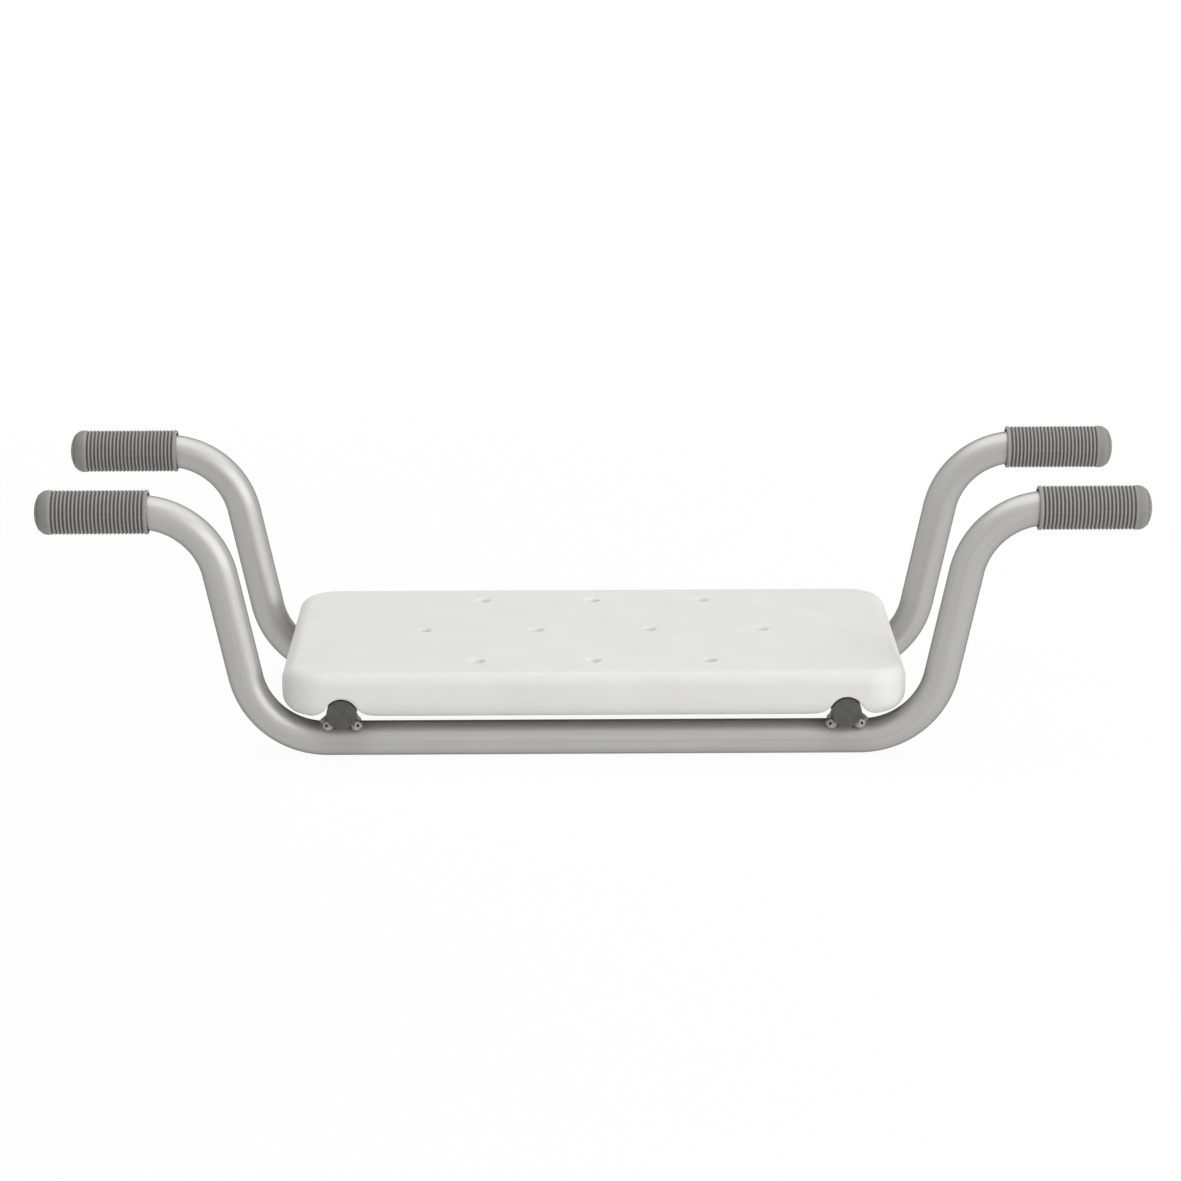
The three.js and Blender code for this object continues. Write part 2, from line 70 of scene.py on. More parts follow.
_, rail_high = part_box("rear_rail")
RAIL_RADIUS = extent("rear_rail").y / 2
RAIL_Y = middle("rear_rail").y
HANDLE_Z = rail_high.z - RAIL_RADIUS
TUBE_END = rail_high.x
CROSS_X = middle("right_cross_tube").x
CROSS_Z = middle("right_cross_tube").z
CROSS_RADIUS = extent("right_cross_tube").x / 2
CROSS_LENGTH = extent("right_cross_tube").y
GRIP_RADIUS = extent("rear_right_grip").y / 2
GRIP_LENGTH = extent("rear_right_grip").x
BENCH_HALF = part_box("rear_right_grip")[1].x
SEAT_LOW, SEAT_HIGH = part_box("seat")
SCREW_Y = middle("rear_right_seat_screw").y
SCREW_LOW, SCREW_HIGH = (corner.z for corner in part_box("rear_right_seat_screw"))
SCREW_HEAD_RADIUS = extent("rear_right_seat_screw").x / 2
WASHER_LOW, WASHER_HIGH = (corner.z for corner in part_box("rear_right_saddle_washer"))
WASHER_RADIUS = extent("rear_right_saddle_washer").x / 2
INSERT_LOW, INSERT_HIGH = (corner.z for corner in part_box("rear_right_insert"))
INSERT_RADIUS = extent("rear_right_insert").x / 2

# Shared values: a cutter runs past what it cuts by OVERRUN
CLEARANCE = 0.3 * MM
FINE_ROUND = 0.2 * MM
OVERRUN = 6 * MM
ROUND_STEPS = 6
PIN_SIDES = 32
ON_AXIS = 1e-9
FLAT_WEIGHT = 80

# Rails and cross tubes
RAIL_WALL = 1.6 * MM
BEND_RADIUS = 52 * MM
BEND_ANGLE = math.radians(78)
HANDLE_RUN = 61.8 * MM
BEND_FLATTENING = 0.025
BEND_STEPS = 26
STRAIGHT_STEPS = 4
TUBE_SIDES = 64
TUBE_LIP = 0.4 * MM
CROSS_WALL = 1.5 * MM
CROSS_STEPS = 24
CROSS_CREASE = math.radians(40)

# Weld beads: a section's point is (away from the cross tube's side, up from the rail's surface),
# and an end is its section's (radius, middle's height)
BEAD_ARC_RADIUS = 14 * MM
BEAD_SPAN = math.radians(74)
BEAD_END = math.radians(17.5)
BEAD_END_POWER = 2.5
BEAD_FACE_END = (4.1 * MM, 2.9 * MM)
BEAD_BACK_END = (2.1 * MM, 1.3 * MM)
BEAD_TOP = (-0.9 * MM, 6.0 * MM)
BEAD_ROOT = (-3.5 * MM, -0.6 * MM)
BEAD_OUTER_TOE = 7.0 * MM
BEAD_INNER_TOE = 0.8 * MM
BEAD_MIDDLE = (-0.4 * MM, 1.8 * MM)
BEAD_SMOOTHINGS = 4
BEAD_GRAZING = 1e-4
WANDER_WAVES = (7, 14, 21)
SECTION_WANDER = 0.05
RIPPLE_WANDER = 0.35
RIPPLE_PITCH = 1.7 * MM
RIPPLE_DEPTH = 0.22 * MM
RIPPLE_BOW = 2.2 * MM
RIPPLE_POWER = 1.6
CRATER_DEPTH = 1.8 * MM
CRATER_RADIUS = 0.8 * MM
CRATER_OUT = 0.5 * MM
CRATER_SHARE = 0.45
# How strongly a weld crater's pit is painted dark, as the shade in it
CRATER_PAINTED_SHADE = 1.4
BEAD_STEPS = 120
BEAD_SIDES = 72

# Caps
CAP_FLANGE = 2 * MM
CAP_EDGE = 0.8 * MM
CAP_RIM = 1.5 * MM
CAP_RIM_ROUND = 0.6 * MM
CAP_DISH = 0.35 * MM
CAP_DISH_FROM_EDGE = 2.6 * MM
CAP_DISH_ROUND = 0.8 * MM
CAP_PLUG_LENGTH = 12 * MM
CAP_PLUG_WALL = 2 * MM
CAP_PLUG_EDGES = (0.8 * MM, 0.4 * MM)
CAP_PLUG_FLOOR = 0.3 * MM
CAP_SIDES = 96
GATE_RADIUS = 1.1 * MM
GATE_HEIGHT = 0.18 * MM
GATE_SLOPE = 0.3 * MM

# Hand grips: a relief is 1 on a rib's crest and 0 in a groove
GRIP_END_WALL = 3 * MM
GRIP_DOME = 9 * MM
DOME_POWER = 0.92
DOME_STEPS = 24
DOME_RELIEF = 0.64
GRIP_COLLAR = 3 * MM
COLLAR_RELIEF = 0.8
RIB_PITCH = 2.47 * MM
RIB_DEPTH = 0.8 * MM
RIB_COUNT = 23
RIB_STEPS = 8
MOUTH_FLARE = 0.9 * MM
MOUTH_ROUND = 0.8 * MM
MOUTH_TAPER = 9 * MM
MOUTH_LIP = 0.3 * MM
SEAM_HEIGHT = 0.08 * MM
SEAM_FILL_SHARE = 0.5
SEAM_HALF_SIDES = 1.2
GRIP_SIDES = 128

# Seat
SEAT_CORNER_RADIUS = 26 * MM
SEAT_EDGE_RADIUS = 9 * MM
SEAT_LOWER_RADIUS = 12.5 * MM
SEAT_BORDER = 1.5 * MM
SEAT_CREASE = math.radians(38)
CORNER_STEPS = 20
SIDE_STEPS = (80, 20)
EDGE_STEPS = 10
PARTING_HEIGHT = 0.1 * MM
PARTING_HALF_WIDTH = 0.7 * MM
PARTING_SHARE = 0.505
CHANNEL_PLAY = 1.2 * MM
CHANNEL_HEADROOM = 0.9 * MM
CHANNEL_FLARE = 16 * MM
CHANNEL_STEPS = 14
CHANNEL_MOUTH = 1.6 * MM
CHANNEL_MOUTH_STEPS = 6
DRAIN_RADIUS = 3.25 * MM
DRAIN_FOOT_ROUND = 1.2 * MM
DRAIN_NECK_ROUND = 0.9 * MM
DRAIN_MOUTH_RADIUS = 5.25 * MM
DRAIN_MOUTH_DEPTH = 2.7 * MM
DRAIN_LIP = 1.3 * MM
DRAIN_OVERLAP = 4 * MM
DRAIN_SIDES = 48
DRAIN_FROM_CROSS = 49.25 * MM
DRAIN_FROM_EDGE = 33 * MM
DRAIN_ROWS = (3, 4, 3)
BLOW_HOLE_RADIUS = 3.5 * MM
BLOW_HOLE_DEPTH = 20 * MM

# Screws, washers and inserts
SCREW_HEAD_HEIGHT = 3 * MM
SCREW_HEAD_RISE = 0.1 * MM
SCREW_HEAD_ROUND = 2.1 * MM
SCREW_SIDES = 40
SHANK_RADIUS = 2.5 * MM
SHANK_TIP = 0.6 * MM
THREAD_PITCH = 0.8 * MM
THREAD_DEPTH = 0.4 * MM
THREAD_RINGS = 5
THREAD_START_RINGS = 6
RECESS_HALF_WIDTH = 0.55 * MM
RECESS_REACH = 2.6 * MM
RECESS_DEPTH = 1.9 * MM
RECESS_TAPER = 0.55
RECESS_SIDE_TURN = 0.4
RECESS_ROW_TURN = 0.7
WASHER_ROUND = 0.5 * MM
WASHER_SIDES = 64
SADDLE_SIDES = 96
TRIM_SIDES = 16
INSERT_ROUND = 0.3 * MM
INSERT_GROOVE = 0.35 * MM
INSERT_GROOVE_SHARES = (0.4, 0.43, 0.57, 0.6)
KNURL_COUNT = 24
KNURL_DEPTH = 0.18 * MM
FIXING_CREASE = math.radians(35)


# Mesh helpers
def mesh_piece(name, points, faces, drawn=None, relief=None):
    """A smooth mesh object; drawn is each point's place on the straight stock, relief its height"""
    mesh = bpy.data.meshes.new(name)
    mesh.from_pydata([tuple(point) for point in points], [], faces)
    if drawn is not None:
        layer = mesh.attributes.new("drawn", "FLOAT_VECTOR", "POINT")
        layer.data.foreach_set("vector", np.asarray(drawn, dtype=np.float32).ravel())
    if relief is not None:
        layer = mesh.attributes.new("relief", "FLOAT", "POINT")
        layer.data.foreach_set("value", np.asarray(relief, dtype=np.float32).ravel())
    shell = bmesh.new()
    shell.from_mesh(mesh)
    bmesh.ops.recalc_face_normals(shell, faces=shell.faces)
    shell.to_mesh(mesh)
    shell.free()
    mesh.shade_smooth()
    piece = bpy.data.objects.new(name, mesh)
    bpy.context.scene.collection.objects.link(piece)
    return piece


def ring_faces(rings, sides, looped=False):
    """The faces between neighbouring rings, and from the last ring to the first if looped"""
    faces = []
    for ring in range(rings if looped else rings - 1):
        here, above = ring * sides, (ring + 1) % rings * sides
        for side in range(sides):
            after = (side + 1) % sides
            faces.append((here + side, here + after, above + after, above + side))
    return faces


def loft(name, rings, relief=None):
    """A closed body through rings of equally many points, closed at both ends by a flat face"""
    rings = np.asarray(rings)
    count, sides = rings.shape[:2]
    faces = ring_faces(count, sides)
    faces.append(tuple(range(sides))[::-1])
    faces.append(tuple(range((count - 1) * sides, count * sides)))
    return mesh_piece(name, rings.reshape(-1, 3), faces, relief=relief)


def rounded(corners):
    """An outline through corners (x, y, radius), each turned round over that length of its sides"""
    points = []
    for index, (x, y, radius) in enumerate(corners):
        if radius == 0:
            points.append((x, y))
            continue
        corner = Vector((x, y))
        before = (Vector(corners[index - 1][:2]) - corner).normalized() * radius
        after = (Vector(corners[index + 1][:2]) - corner).normalized() * radius
        for step in range(ROUND_STEPS + 1):
            share = step / ROUND_STEPS
            points.append(tuple(corner + before * (1 - share) ** 2 + after * share ** 2))
    return points


def turned(name, profile, sides, place, relief=None, swell=None):
    """A piece turned about the Z axis from (radius, height) points, then placed by a matrix.
    relief has one value for each point, and swell(turn, height, index) adds to a point's radius."""
    points, drawn, heights, rows = [], [], [], []
    for index, (radius, height) in enumerate(profile):
        count = 1 if radius < ON_AXIS else sides
        rows.append((len(points), count))
        for side in range(count):
            turn = side * TURN / sides
            grown = radius + (swell(turn, height, index) if swell and count > 1 else 0)
            points.append(place @ Vector((grown * math.cos(turn), grown * math.sin(turn), height)))
            drawn.append((height, radius * math.cos(turn), radius * math.sin(turn)))
            heights.append(relief[index] if relief is not None else 0)
    faces = []
    for (here, count), (above, count_above) in zip(rows, rows[1:] + rows[:1]):
        if count == count_above == 1:
            continue
        for side in range(sides):
            after = (side + 1) % sides
            if count == 1:
                faces.append((here, above + after, above + side))
            elif count_above == 1:
                faces.append((here + side, here + after, above))
            else:
                faces.append((here + side, here + after, above + after, above + side))
    return mesh_piece(name, points, faces, drawn, heights)


def pin(radius, low, high, place, sides=PIN_SIDES):
    """A plain round cutter between two heights on the axis of its place"""
    return turned("pin", [(0, low), (radius, low), (radius, high), (0, high)], sides, place)


def applied(piece):
    """The piece with its modifiers turned into plain mesh"""
    graph = bpy.context.evaluated_depsgraph_get()
    mesh = bpy.data.meshes.new_from_object(piece.evaluated_get(graph))
    piece.modifiers.clear()
    piece.data = mesh
    return piece


def cut(piece, cutters):
    """Cuts the closed cutters out of the piece and removes them"""
    for cutter in cutters:
        step = piece.modifiers.new("cut", "BOOLEAN")
        step.operation = "DIFFERENCE"
        step.solver = "EXACT"
        step.object = cutter
    applied(piece)
    for cutter in cutters:
        bpy.data.objects.remove(cutter)


def crisp(piece, crease):
    """Smooth shading that keeps flats flat, with edges beyond the crease angle left sharp"""
    piece.data.shade_smooth()
    piece.data.set_sharp_from_angle(angle=crease)
    even = piece.modifiers.new("even", "WEIGHTED_NORMAL")
    even.keep_sharp = True
    even.weight = FLAT_WEIGHT
    return applied(piece)


def fixing_place(side, row, z):
    """A height on the axis of the screw through one end of a cross tube"""
    return Matrix.Translation((side * CROSS_X, row * SCREW_Y, z))


def wave(turn):
    """1 at the start of each turn, and 0 half way round it"""
    return (1 + math.cos(turn)) / 2


# Rails and cross tubes
def rail_stations():
    """(x, z, heading, distance, flattening) along the rail from the left end to the right end"""
    arm_rise = HANDLE_Z - RAIL_RADIUS - 2 * BEND_RADIUS * (1 - math.cos(BEND_ANGLE))
    arm = arm_rise / math.sin(BEND_ANGLE)
    reach = 2 * BEND_RADIUS * math.sin(BEND_ANGLE) + arm * math.cos(BEND_ANGLE)
    base = 2 * (TUBE_END - HANDLE_RUN - reach)
    stations = [(-TUBE_END, HANDLE_Z, 0.0, 0.0, 0.0)]

    def straight(length):
        x, z, heading, along, _ = stations[-1]
        for step in range(1, STRAIGHT_STEPS + 1):
            run = length * step / STRAIGHT_STEPS
            stations.append((
                x + run * math.cos(heading),
                z + run * math.sin(heading),
                heading, along + run, 0.0))

    def bend(turn):
        x, z, start, along, _ = stations[-1]
        side = math.copysign(1, turn)
        centre_x = x - side * BEND_RADIUS * math.sin(start)
        centre_z = z + side * BEND_RADIUS * math.cos(start)
        for step in range(1, BEND_STEPS + 1):
            share = step / BEND_STEPS
            heading = start + turn * share
            pinch = BEND_FLATTENING * math.sqrt(math.sin(math.pi * share))
            stations.append((
                centre_x + side * BEND_RADIUS * math.sin(heading),
                centre_z - side * BEND_RADIUS * math.cos(heading),
                heading, along + abs(turn) * share * BEND_RADIUS, pinch))

    straight(HANDLE_RUN)
    bend(-BEND_ANGLE)
    straight(arm)
    bend(BEND_ANGLE)
    straight(base)
    bend(BEND_ANGLE)
    straight(arm)
    bend(-BEND_ANGLE)
    straight(HANDLE_RUN)
    return stations


def tube(name, stations, y, radius, wall):
    """A hollow round tube along stations, outside first and then back through its bore"""
    first, last = stations[0], stations[-1]
    bore = radius - wall
    passes = [(first, radius - TUBE_LIP, 0.0), (first, radius, TUBE_LIP)]
    passes += [(station, radius, 0.0) for station in stations[1:-1]]
    passes += [(last, radius, -TUBE_LIP), (last, radius - TUBE_LIP, 0.0)]
    passes += [(last, bore + TUBE_LIP, 0.0), (last, bore, -TUBE_LIP)]
    passes += [(station, bore, 0.0) for station in stations[-2:0:-1]]
    passes += [(first, bore, TUBE_LIP), (first, bore + TUBE_LIP, 0.0)]
    points, drawn = [], []
    for (x, z, heading, along, pinch), ring, shift in passes:
        for side in range(TUBE_SIDES):
            turn = side * TURN / TUBE_SIDES
            out = ring * math.cos(turn) * (1 + pinch / 2)
            up = ring * math.sin(turn) * (1 - pinch)
            points.append((
                x + shift * math.cos(heading) - up * math.sin(heading),
                y + out,
                z + shift * math.sin(heading) + up * math.cos(heading)))
            drawn.append((along + shift, ring * math.cos(turn), ring * math.sin(turn)))
    return mesh_piece(name, points, ring_faces(len(passes), TUBE_SIDES, looped=True), drawn)


def cross_tube(name, side):
    """A cross tube along Y with its screw holes"""
    runs = [CROSS_LENGTH * (step / CROSS_STEPS - 1 / 2) for step in range(CROSS_STEPS + 1)]
    piece = tube(name, [(run, 0.0, 0.0, run, 0.0) for run in runs], 0.0, CROSS_RADIUS, CROSS_WALL)
    place = Matrix.Translation((side * CROSS_X, 0, CROSS_Z))
    piece.data.transform(place @ Matrix.Rotation(QUARTER, 4, "Z"))
    reach = CROSS_RADIUS + OVERRUN
    hole = SHANK_RADIUS + CLEARANCE
    cut(piece, [pin(hole, -reach, reach, fixing_place(side, row, CROSS_Z)) for row in (FRONT, REAR)])
    return crisp(piece, CROSS_CREASE)


# Welds
def bead_reach(theta, toe):
    """How far the rounded triangle of a bead's section reaches from its middle, in each direction"""
    corners = [Vector(point) for point in (BEAD_TOP, (toe, BEAD_ROOT[1]), BEAD_ROOT)]
    reach = np.full_like(theta, np.inf)
    for start, end in zip(corners, corners[1:] + corners[:1]):
        out = (end - start).orthogonal().normalized()
        depth = out.dot(start - Vector(BEAD_MIDDLE))
        facing = (out.x * np.cos(theta) + out.y * np.sin(theta)) * math.copysign(1, depth)
        reach = np.minimum(reach, abs(depth) / np.maximum(facing, BEAD_GRAZING))
    for _ in range(BEAD_SMOOTHINGS):
        reach = (np.roll(reach, 1, 1) + 2 * reach + np.roll(reach, -1, 1)) / 4
    return reach


def weld_bead(name, side, row, flank, toe, seed):
    """A rippled bead over the rail beside a cross tube, thick with a crater at the bench's outside
    and thin at its inside"""
    # phi turns over the rail, and theta round the bead's section
    chance = np.random.default_rng(seed)
    span = BEAD_SPAN / 2
    sweep = (span + BEAD_END) * np.sin(np.linspace(-QUARTER, QUARTER, BEAD_STEPS))
    around = np.linspace(0, TURN, BEAD_SIDES, endpoint=False)
    phi, theta = np.meshgrid(sweep, around, indexing="ij")

    # close shrinks the section to nothing at both ends, and soft turns its triangle into a round
    over = np.clip((np.abs(phi) - span) / BEAD_END, 0, 1)
    close = np.sqrt(np.maximum(1 - over ** 2, 0))
    soft = np.clip(np.abs(phi) / span, 0, 1) ** BEAD_END_POWER
    ends = zip(BEAD_FACE_END, BEAD_BACK_END)
    end_radius, end_lift = (np.where(row * phi > 0, *sizes) for sizes in ends)

    wander = sum(chance.uniform(-1, 1) * np.sin(waves * phi + chance.uniform(0, TURN))
                 for waves in WANDER_WAVES) / len(WANDER_WAVES)
    along = (phi * BEAD_ARC_RADIUS + RIPPLE_BOW * np.cos(theta) ** 2) / RIPPLE_PITCH
    ripple = np.abs(np.sin(math.pi * (along + RIPPLE_WANDER * wander)))
    reach = bead_reach(theta, toe) * (1 - soft) + end_radius * soft
    reach = reach * (1 + SECTION_WANDER * wander) - RIPPLE_DEPTH * (1 - ripple) ** RIPPLE_POWER
    across = flank * (reach * np.cos(theta) * close + BEAD_MIDDLE[0])

    spot = row * (span + BEAD_END * CRATER_SHARE)
    away = np.sqrt(((phi - spot) * BEAD_ARC_RADIUS) ** 2 + (across - flank * CRATER_OUT) ** 2)
    crater = np.exp(-(away / CRATER_RADIUS) ** 2) * (np.sin(theta) > 0)
    lift = BEAD_MIDDLE[1] * (1 - soft) + end_lift * soft
    height = reach * np.sin(theta) * close + lift - CRATER_DEPTH * crater

    x = side * CROSS_X + flank * CROSS_RADIUS + across
    y = row * RAIL_Y + (RAIL_RADIUS + height) * np.sin(phi)
    z = RAIL_RADIUS + (RAIL_RADIUS + height) * np.cos(phi)
    rings = np.stack([x, y, z], axis=-1)
    # The crater's pit is painted dark as shade: relief drops below 0 there, and elsewhere carries the
    # ripples for their painted shade
    pit_shade = np.clip(CRATER_PAINTED_SHADE * crater, 0, 1)
    relief = ripple * (1 - pit_shade) - pit_shade
    return loft(name, rings[1:-1], relief[1:-1].ravel())


# Caps
def end_cap(name, side, row):
    """A plug with a slightly dished face and a gate mark"""
    plug = CROSS_RADIUS - CROSS_WALL - CLEARANCE
    face = CAP_FLANGE - CAP_DISH
    outer_edge, inner_edge = CAP_PLUG_EDGES
    profile = rounded([
        (0, face + GATE_HEIGHT, 0),
        (GATE_RADIUS, face + GATE_HEIGHT, GATE_SLOPE),
        (GATE_RADIUS + GATE_SLOPE, face, FINE_ROUND),
        (CROSS_RADIUS - CAP_DISH_FROM_EDGE, face, CAP_DISH_ROUND),
        (CROSS_RADIUS - CAP_RIM, CAP_FLANGE, CAP_RIM_ROUND),
        (CROSS_RADIUS, CAP_FLANGE, CAP_EDGE),
        (CROSS_RADIUS, 0, FINE_ROUND),
        (plug, 0, FINE_ROUND),
        (plug, -CAP_PLUG_LENGTH, outer_edge),
        (plug - CAP_PLUG_WALL, -CAP_PLUG_LENGTH, inner_edge),
        (plug - CAP_PLUG_WALL, 0, CAP_PLUG_FLOOR),
        (0, 0, 0)])
    place = Matrix.Translation((side * CROSS_X, row * CROSS_LENGTH / 2, CROSS_Z))
    return turned(name, profile, CAP_SIDES, place @ Matrix.Rotation(-row * QUARTER, 4, "X"))


# Grips
def grip_profile():
    """(radius, height, relief) points from the mouth to the dome and back down the bore"""
    bore = RAIL_RADIUS + CLEARANCE
    lip = rounded([
        (bore + MOUTH_FLARE, 0, 0),
        (GRIP_RADIUS, 0, MOUTH_ROUND),
        (GRIP_RADIUS, GRIP_COLLAR - RIB_PITCH / 2, 0)])
    points = [(radius, height, COLLAR_RELIEF) for radius, height in lip]
    for step in range(1 - RIB_STEPS // 2, RIB_COUNT * RIB_STEPS + RIB_STEPS // 2):
        run = step / RIB_STEPS
        groove = wave(TURN * run)
        points.append((GRIP_RADIUS - RIB_DEPTH * groove, GRIP_COLLAR + run * RIB_PITCH, 1 - groove))
    ribs_end = GRIP_COLLAR + RIB_COUNT * RIB_PITCH + RIB_PITCH / 2
    points.append((GRIP_RADIUS, ribs_end, COLLAR_RELIEF))
    dome_start = GRIP_LENGTH - GRIP_DOME
    for step in range(DOME_STEPS + 1):
        turn = QUARTER * step / DOME_STEPS
        radius = GRIP_RADIUS * math.cos(turn) ** DOME_POWER if step < DOME_STEPS else 0
        points.append((radius, dome_start + GRIP_DOME * math.sin(turn) ** DOME_POWER, DOME_RELIEF))
    bore_end = GRIP_LENGTH - GRIP_END_WALL
    bore_line = [(0, bore_end), (bore, bore_end), (bore, MOUTH_TAPER), (bore + MOUTH_FLARE, MOUTH_LIP)]
    return points + [(radius, height, 0) for radius, height in bore_line]


def hand_grip(name, side, row):
    """A ribbed sleeve with a domed end, its mouth towards the bench's middle"""
    points = grip_profile()
    profile = [point[:2] for point in points]
    relief = [point[2] for point in points]
    dome_top = next(index for index, (radius, _) in enumerate(profile) if radius == 0)

    def seam(turn, height, index):
        """The faint ridge that the mould leaves along two sides, as far as half way up the dome"""
        if index >= dome_top - DOME_STEPS // 2:
            return 0
        near = max(0, 1 - abs(math.sin(turn)) * GRIP_SIDES / TURN / SEAM_HALF_SIDES)
        ridge = SEAM_HEIGHT + SEAM_FILL_SHARE * max(0, GRIP_RADIUS - profile[index][0])
        return near * ridge

    place = Matrix.Translation((side * (BENCH_HALF - GRIP_LENGTH), row * RAIL_Y, HANDLE_Z))
    aim = Matrix.Rotation(side * QUARTER, 4, "Y") @ Matrix.Rotation(QUARTER, 4, "Z")
    return turned(name, profile, GRIP_SIDES, place @ aim, relief, seam)


# Seat
def seat_plan(inset):
    """The seat's rounded outline from above, drawn in by an inset"""
    half_x = SEAT_HIGH.x - inset
    half_y = SEAT_HIGH.y - inset
    radius = SEAT_CORNER_RADIUS - inset
    corners = []
    for quarter, (sign_x, sign_y) in enumerate(((1, 1), (-1, 1), (-1, -1), (1, -1))):
        for step in range(CORNER_STEPS + 1):
            turn = (quarter + step / CORNER_STEPS) * QUARTER
            corners.append(Vector((
                sign_x * (half_x - radius) + radius * math.cos(turn),
                sign_y * (half_y - radius) + radius * math.sin(turn))))
    points = []
    for index, (start, end) in enumerate(zip(corners, corners[1:] + corners[:1])):
        quarter, step = divmod(index, CORNER_STEPS + 1)
        steps = SIDE_STEPS[quarter % 2] if step == CORNER_STEPS else 1
        points += [tuple(start.lerp(end, part / steps)) for part in range(steps)]
    return points


def seat_levels():
    """(inset, height) from the underside to the top, with the fine ridge where the mould parts"""
    low, high = SEAT_LOW.z, SEAT_HIGH.z
    under, edge = SEAT_LOWER_RADIUS, SEAT_EDGE_RADIUS
    part = low + PARTING_SHARE * (high - low)
    turns = [QUARTER * step / EDGE_STEPS for step in range(EDGE_STEPS + 1)]
    levels = [(under + SEAT_BORDER, low)]
    levels += [(under * (1 - math.sin(turn)), low + under * (1 - math.cos(turn))) for turn in turns]
    levels += [(0, part - PARTING_HALF_WIDTH), (-PARTING_HEIGHT, part), (0, part + PARTING_HALF_WIDTH)]
    levels += [(edge * (1 - math.cos(turn)), high - edge * (1 - math.sin(turn))) for turn in turns]
    levels += [(edge + SEAT_BORDER, high)]
    return levels


def channel_outline(growth):
    """The channel's flared section over a cross tube, grown evenly, from its right foot to its left"""
    radius = CROSS_RADIUS + CHANNEL_PLAY
    axis = CROSS_Z + CROSS_RADIUS + CHANNEL_HEADROOM - radius
    radius += growth
    flare = CHANNEL_FLARE - growth
    centre = SEAT_LOW.z + CHANNEL_FLARE
    rise = centre - axis
    reach = math.sqrt((radius + flare) ** 2 - rise ** 2)
    meet = math.atan2(rise, reach)
    right = [(reach, SEAT_LOW.z - OVERRUN)]
    for step in range(CHANNEL_STEPS + 1):
        turn = -QUARTER + (meet - QUARTER) * step / CHANNEL_STEPS
        right.append((reach + flare * math.cos(turn), centre + flare * math.sin(turn)))
    roof = []
    for step in range(1, 2 * CHANNEL_STEPS):
        turn = meet + (math.pi - 2 * meet) * step / (2 * CHANNEL_STEPS)
        roof.append((radius * math.cos(turn), axis + radius * math.sin(turn)))
    return right + roof + [(-x, z) for x, z in right[::-1]]


def lower_recess(z):
    """How far the seat's rounded lower edge stands back from its face at a height"""
    depth = min(max(SEAT_LOW.z + SEAT_LOWER_RADIUS - z, 0), SEAT_LOWER_RADIUS)
    return SEAT_LOWER_RADIUS - math.sqrt(SEAT_LOWER_RADIUS ** 2 - depth ** 2)


def mouth_growth(y):
    """How much wider its rounded mouth makes a channel, at a distance y from the seat's middle"""
    depth = max(0, y - SEAT_HIGH.y + CHANNEL_MOUTH)
    return CHANNEL_MOUTH - math.sqrt(max(0, CHANNEL_MOUTH ** 2 - depth ** 2))


def channel_cutter(side):
    """The channel from rear to front, with rounded mouths that follow the seat's lower edge"""
    turns = [QUARTER * step / CHANNEL_MOUTH_STEPS for step in range(CHANNEL_MOUTH_STEPS + 1)]
    depths = [-OVERRUN] + [CHANNEL_MOUTH * math.sin(turn) for turn in turns]
    half = [(SEAT_HIGH.y - depth, mouth_growth(SEAT_HIGH.y - depth)) for depth in depths]
    rings = []
    for y, growth in half + [(-y, growth) for y, growth in half[::-1]]:
        rings.append([(side * CROSS_X + x, y - math.copysign(lower_recess(z), y), z)
                      for x, z in channel_outline(growth)])
    return loft("channel", rings)


def drain_places():
    """(x, y) of each drain hole, in rows centred on the seat"""
    pitch = 2 * (CROSS_X - DRAIN_FROM_CROSS) / (max(DRAIN_ROWS) - 1)
    row_pitch = 2 * (SEAT_HIGH.y - DRAIN_FROM_EDGE) / (len(DRAIN_ROWS) - 1)
    for row, count in enumerate(DRAIN_ROWS):
        for hole in range(count):
            yield (hole - (count - 1) / 2) * pitch, (row - (len(DRAIN_ROWS) - 1) / 2) * row_pitch


def drain_cutter(x, y):
    """A drain hole with a dished, rounded mouth above and a rounded rim below"""
    low, high = SEAT_LOW.z, SEAT_HIGH.z
    profile = rounded([
        (0, low - OVERRUN, 0),
        (DRAIN_RADIUS + DRAIN_OVERLAP, low - OVERRUN, 0),
        (DRAIN_RADIUS + DRAIN_OVERLAP, low, 0),
        (DRAIN_RADIUS, low, DRAIN_FOOT_ROUND),
        (DRAIN_RADIUS, high - DRAIN_MOUTH_DEPTH, DRAIN_NECK_ROUND),
        (DRAIN_MOUTH_RADIUS - FINE_ROUND, high, DRAIN_LIP),
        (DRAIN_MOUTH_RADIUS + DRAIN_OVERLAP, high, 0),
        (DRAIN_MOUTH_RADIUS + DRAIN_OVERLAP, high + OVERRUN, 0),
        (0, high + OVERRUN, 0)])
    return turned("drain", profile, DRAIN_SIDES, Matrix.Translation((x, y, 0)))


def seat():
    """The moulding with its channels, drain holes, insert pockets and blow hole"""
    rings = [[(x, y, z) for x, y in seat_plan(inset)] for inset, z in seat_levels()]
    piece = loft("seat_moulding", rings)
    cutters = [channel_cutter(side) for side in (LEFT, RIGHT)]
    cutters += [drain_cutter(x, y) for x, y in drain_places()]
    pocket = INSERT_RADIUS + CLEARANCE
    for side in (LEFT, RIGHT):
        for row in (FRONT, REAR):
            cutters.append(pin(pocket, CROSS_Z, INSERT_HIGH + CLEARANCE, fixing_place(side, row, 0)))
    blow_place = Matrix.Translation((0, (DRAIN_FROM_EDGE - SEAT_HIGH.y) / 2, 0))
    low = SEAT_LOW.z
    cutters.append(pin(BLOW_HOLE_RADIUS, low - OVERRUN, low + BLOW_HOLE_DEPTH, blow_place))
    cut(piece, cutters)
    return crisp(piece, SEAT_CREASE)


